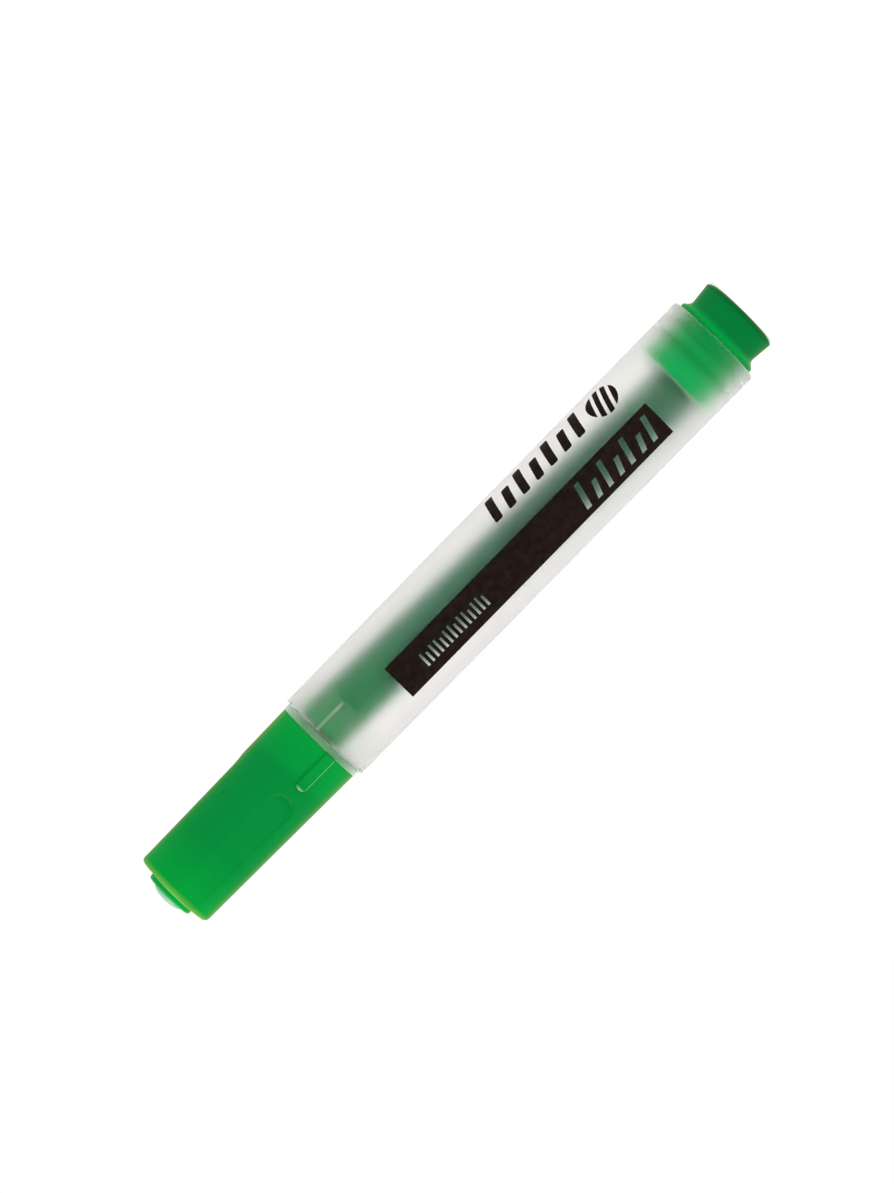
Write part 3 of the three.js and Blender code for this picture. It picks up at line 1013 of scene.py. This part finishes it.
for i in range(FLAT_COUNT):
    turn_by = FRONT_GRIP_TURN + i * math.tau / FLAT_COUNT
    flat = tongue(FLAT_WIDTH, FLAT_LOW, CAP_TOP_Z + 1, FLAT_R, FLAT_TOOL_R, turn_by, "low")
    merge(cap, soften(flat, 0.55, steps=6, sharper_than=60), "DIFFERENCE")
grip_rib = tongue(
    CAP_RIB_WIDTH, cap_low.z + 0.05, CAP_RIB_TOP, 6.7, CAP_RIB_R, FRONT_GRIP_TURN, "high"
)
merge(cap, soften(grip_rib, 0.36, steps=5, sharper_than=60), "UNION")
select_only(cap)
bpy.ops.mesh.primitive_uv_sphere_add(
    segments=24,
    ring_count=16,
    radius=0.4,
    location=(GATE_SIDE, -((GATE_R**2 - GATE_SIDE**2) ** 0.5), GATE_Z),
)
merge(cap, bpy.context.object, "DIFFERENCE")
finish(cap, "cap", CAP_GREEN, "cap_shell")

# %% [markdown]
# The liner hangs in the cap from a stem that comes out through the boss and ends in a low dome. Its
# skirt closes round the nose of the holder, so that the nib stays wet.

# %% Liner
LINER_R = 5.2
LINER_BORE = 4.5
SEAL_R = LINER_BORE - 0.2
DISC_R = 5.5
DISC_Z = 118.4
DISC_TOP = DISC_Z + 1.45
STEM_R = 2.7
DOME_Z = 123.2
DOME_STEPS = 10
dome = []
for i in range(DOME_STEPS):
    swing = i / DOME_STEPS * math.pi / 2
    dome.append(
        (STEM_R * math.cos(swing), DOME_Z + (PEN_LENGTH - DOME_Z) * math.sin(swing), 0)
    )
liner = turn(
    "cap_inner",
    [
        (0.02, PEN_LENGTH, 0),
        *dome[::-1],
        (STEM_R, DISC_TOP, 0.1),
        (DISC_R, DISC_TOP, 0.15),
        (DISC_R, DISC_Z - 0.3, 0.15),
        (LINER_R, DISC_Z - 0.6, 0.1),
        (LINER_R, liner_low.z, 0.12),
        (LINER_BORE, liner_low.z, 0.1),
        (SEAL_R, liner_low.z + 0.5, 0.1),
        (SEAL_R, liner_low.z + 1.0, 0.1),
        (LINER_BORE, liner_low.z + 1.4, 0.1),
        (LINER_BORE, DISC_Z, 0.5),
    ],
    hollow=False,
)
finish(liner, "cap", LINER_MINT, "cap_liner")

# %% [markdown]
# ## The print
# Ink on a barrel is a film of about two hundredths of a millimetre. It is cut from a skin: a sleeve
# of that thickness that lies just on the barrel, of which only what falls inside a set of blocks is
# kept. Gaps cut in the blocks leave see-through marks. All the marks are plain bars and stripes of
# no meaning.

# %% The ink skin and its cutting blocks
UNDER_INK, OVER_INK = 0.004, 0.022
BLOCK_MID, BLOCK_DEPTH = -7, 6


def barrel_radius(height):
    share = (height - barrel_low.z) / (barrel_high.z - barrel_low.z)
    return BARREL_TAIL_R + share * (BARREL_FRONT_R - BARREL_TAIL_R)


def ink_skin(name, low, high):
    return turn(
        name,
        [
            (barrel_radius(low) + UNDER_INK, low, 0),
            (barrel_radius(low) + OVER_INK, low, 0),
            (barrel_radius(high) + OVER_INK, high, 0),
            (barrel_radius(high) + UNDER_INK, high, 0),
        ],
        hollow=True,
        sides=384,
    )


def bar(side_low, side_high, low, high, slant=0.0, rounding=0.0):
    """A block that crosses the -Y side of the skin; its upper side edge is shifted by the slant."""
    bpy.ops.object.select_all(action="DESELECT")
    middle = (side_low + side_high) / 2
    bpy.ops.mesh.primitive_cube_add(size=1, location=(middle, BLOCK_MID, (low + high) / 2))
    block = bpy.context.object
    block.scale = (side_high - side_low, BLOCK_DEPTH, high - low)
    fix_in_place()
    bpy.ops.object.mode_set(mode="EDIT")
    if slant:
        bpy.ops.mesh.select_all(action="DESELECT")
        mesh = bmesh.from_edit_mesh(block.data)
        for vertex in mesh.verts:
            vertex.select_set(vertex.co.x > middle)
        mesh.select_flush(True)
        bmesh.update_edit_mesh(block.data)
        bpy.ops.transform.translate(value=(0, 0, -slant))
    if rounding:
        pick_edges(block, lambda e: abs(e.verts[0].co.y - e.verts[1].co.y) > 1)
        bpy.ops.mesh.bevel(offset=rounding, segments=3, affect="EDGES")
    bpy.ops.object.mode_set(mode="OBJECT")
    return block


def joined(blocks):
    bpy.ops.object.select_all(action="DESELECT")
    for block in blocks:
        block.select_set(True)
    bpy.context.view_layer.objects.active = blocks[0]
    bpy.ops.object.join()
    return blocks[0]


def printed(name, low, high, blocks):
    """The part of the skin between two heights that lies inside the blocks."""
    patch = merge(ink_skin(name, low, high), blocks, "INTERSECT")
    return finish(patch, "writing_unit", SCREEN_INK)


# %% [markdown]
# The band is one long block. A tally of fourteen short lines, every third one longer, is cut out of
# its upper part, and seven slanted stripes, long and short in turn, out of its lower part.

# %% Printed band
BAND_LOW, BAND_HIGH = 20.25, 75.87
BAND_SIDES = (-5.25, 0.75)
TALLY_LINES, TALLY_TOP, TALLY_STEP, TALLY_THICK = 14, 70.9, 0.98, 0.42
STRIPES, STRIPE_TOP, STRIPE_STEP, STRIPE_THICK = 7, 37.6, 2.35, 0.95

gaps = []
for i in range(TALLY_LINES):
    top = TALLY_TOP - TALLY_STEP * i
    reach = -1.95 if i % 3 == 1 else -1.45
    gaps.append(bar(-3.75, reach, top - TALLY_THICK, top))
for i in range(STRIPES):
    top = STRIPE_TOP - STRIPE_STEP * i
    reach = -1.7 if i % 2 else -0.3
    gaps.append(bar(-4.3, reach, top - STRIPE_THICK, top, slant=1.0))
band_block = bar(*BAND_SIDES, BAND_LOW, BAND_HIGH)
merge(band_block, joined(gaps), "DIFFERENCE")
printed("print_band", BAND_LOW - 1, BAND_HIGH + 1, band_block)

# %% [markdown]
# Beside the band, a little further round the barrel, come seven slanted strokes and a round mark
# with three slanted gaps.

# %% Printed strokes and round mark
MARK_TURN = math.radians(47)
STROKES, STROKE_TOP, STROKE_STEP, STROKE_THICK = 7, 48.6, 2.95, 1.5
ROUND_R, ROUND_SIDE, ROUND_Z = 2.8, -0.3, 24.5
GAP_HALF = 0.3

strokes = []
for i in range(STROKES):
    top = STROKE_TOP - STROKE_STEP * i
    reach = 1.7 if i % 2 else 2.9
    strokes.append(bar(-2.3, reach, top - STROKE_THICK, top, slant=0.9, rounding=0.3))
printed("print_marks", 26, 52, turned_about_axis(joined(strokes), MARK_TURN))

bpy.ops.object.select_all(action="DESELECT")
bpy.ops.mesh.primitive_cylinder_add(
    vertices=96,
    radius=ROUND_R,
    depth=BLOCK_DEPTH,
    location=(ROUND_SIDE, BLOCK_MID, ROUND_Z),
    rotation=(math.pi / 2, 0, 0),
)
disc = bpy.context.object
fix_in_place()
gaps = []
for offset in (-0.6, 0.9, 2.4):
    middle = ROUND_Z + offset
    gaps.append(bar(-4, 4, middle - GAP_HALF, middle + GAP_HALF, slant=2.2))
merge(disc, joined(gaps), "DIFFERENCE")
printed("print_disc", 20, 29, turned_about_axis(disc, MARK_TURN))

# %% [markdown]
# ## Camera, floor and light
# The pen is seen from the side, so the camera looks along +Y at half its height. It is rolled so
# that the cap points down to the left. A long lens a little under a metre away gives the slight
# perspective that bows the rings near both ends. The view height is what the picture's long side
# spans at the pen, in millimetres.

# %% Camera
VIEW_HEIGHT = 179.67
DISTANCE = 930.0
ROLL = math.radians(45.55)
AIM_SIDE, AIM_UP = -0.88, 1.44

right = Vector((-math.sin(ROLL), 0, -math.cos(ROLL)))
up = Vector((math.cos(ROLL), 0, -math.sin(ROLL)))
back = Vector((0, -1, 0))
centre = Vector((0, 0, PEN_LENGTH / 2))
aim = centre + right * AIM_SIDE + up * AIM_UP

lens = bpy.data.cameras.new("camera")
lens.sensor_width = 36.0
lens.lens = lens.sensor_width * DISTANCE / VIEW_HEIGHT
camera = bpy.data.objects.new("camera", lens)
bpy.context.scene.collection.objects.link(camera)
turned_view = Matrix((right, up, back)).transposed().to_4x4()
camera.matrix_world = Matrix.Translation((aim + back * DISTANCE) * MM) @ turned_view
lens.clip_start, lens.clip_end = 0.01, 50.0
bpy.context.scene.camera = camera
print("lens", round(lens.lens, 1), "mm")

# %% [markdown]
# The stage is white on white: a wide pale floor that the pen stands on, under a white sky. The floor
# glows a little by itself, so that it is as bright as the sky and no horizon shows, while the pen
# still leaves a soft contact shadow on it.

# %% Floor and sky
FLOOR_GLOW = 0.68

bpy.ops.object.select_all(action="DESELECT")
bpy.ops.mesh.primitive_plane_add(size=12.0, location=(0, 0, 0))
floor = bpy.context.object
floor.name = "floor"
paper = bpy.data.materials.new("pale_floor")
paper.use_nodes = True
paper_shader = paper.node_tree.nodes["Principled BSDF"]
paper_shader.inputs["Base Color"].default_value = (0.5, 0.5, 0.5, 1)
paper_shader.inputs["Roughness"].default_value = 0.9
paper_shader.inputs["Specular IOR Level"].default_value = 0.0
paper_shader.inputs["Emission Color"].default_value = (1, 1, 1, 1)
paper_shader.inputs["Emission Strength"].default_value = FLOOR_GLOW
floor.data.materials.append(paper)

sky = bpy.data.worlds.new("sky")
sky.use_nodes = True
sky.node_tree.nodes["Background"].inputs["Color"].default_value = (1, 1, 1, 1)
sky.node_tree.nodes["Background"].inputs["Strength"].default_value = 1.0
bpy.context.scene.world = sky
bpy.context.scene.view_settings.view_transform = "Standard"

# %% [markdown]
# A white sky alone is flat. One large soft lamp above the cap and to its left makes the closed end
# and the left edge of the pen brighter, and a weaker one low on the right keeps the other edge open.

# %% Lamps
def soft_lamp(name, place_mm, target_mm, size, watts):
    lamp_data = bpy.data.lights.new(name, "AREA")
    lamp_data.shape = "DISK"
    lamp_data.size = size
    lamp_data.energy = watts
    lamp = bpy.data.objects.new(name, lamp_data)
    lamp.location = Vector(place_mm) * MM
    aim_along = (Vector(target_mm) - Vector(place_mm)).normalized()
    lamp.rotation_mode = "QUATERNION"
    lamp.rotation_quaternion = aim_along.to_track_quat("-Z", "Y")
    bpy.context.scene.collection.objects.link(lamp)
    return lamp


soft_lamp("key", (-160, -60, 520), (0, 0, 90), 0.2, 1.0)
soft_lamp("fill", (420, -300, 60), (0, 0, 60), 0.4, 0.1)
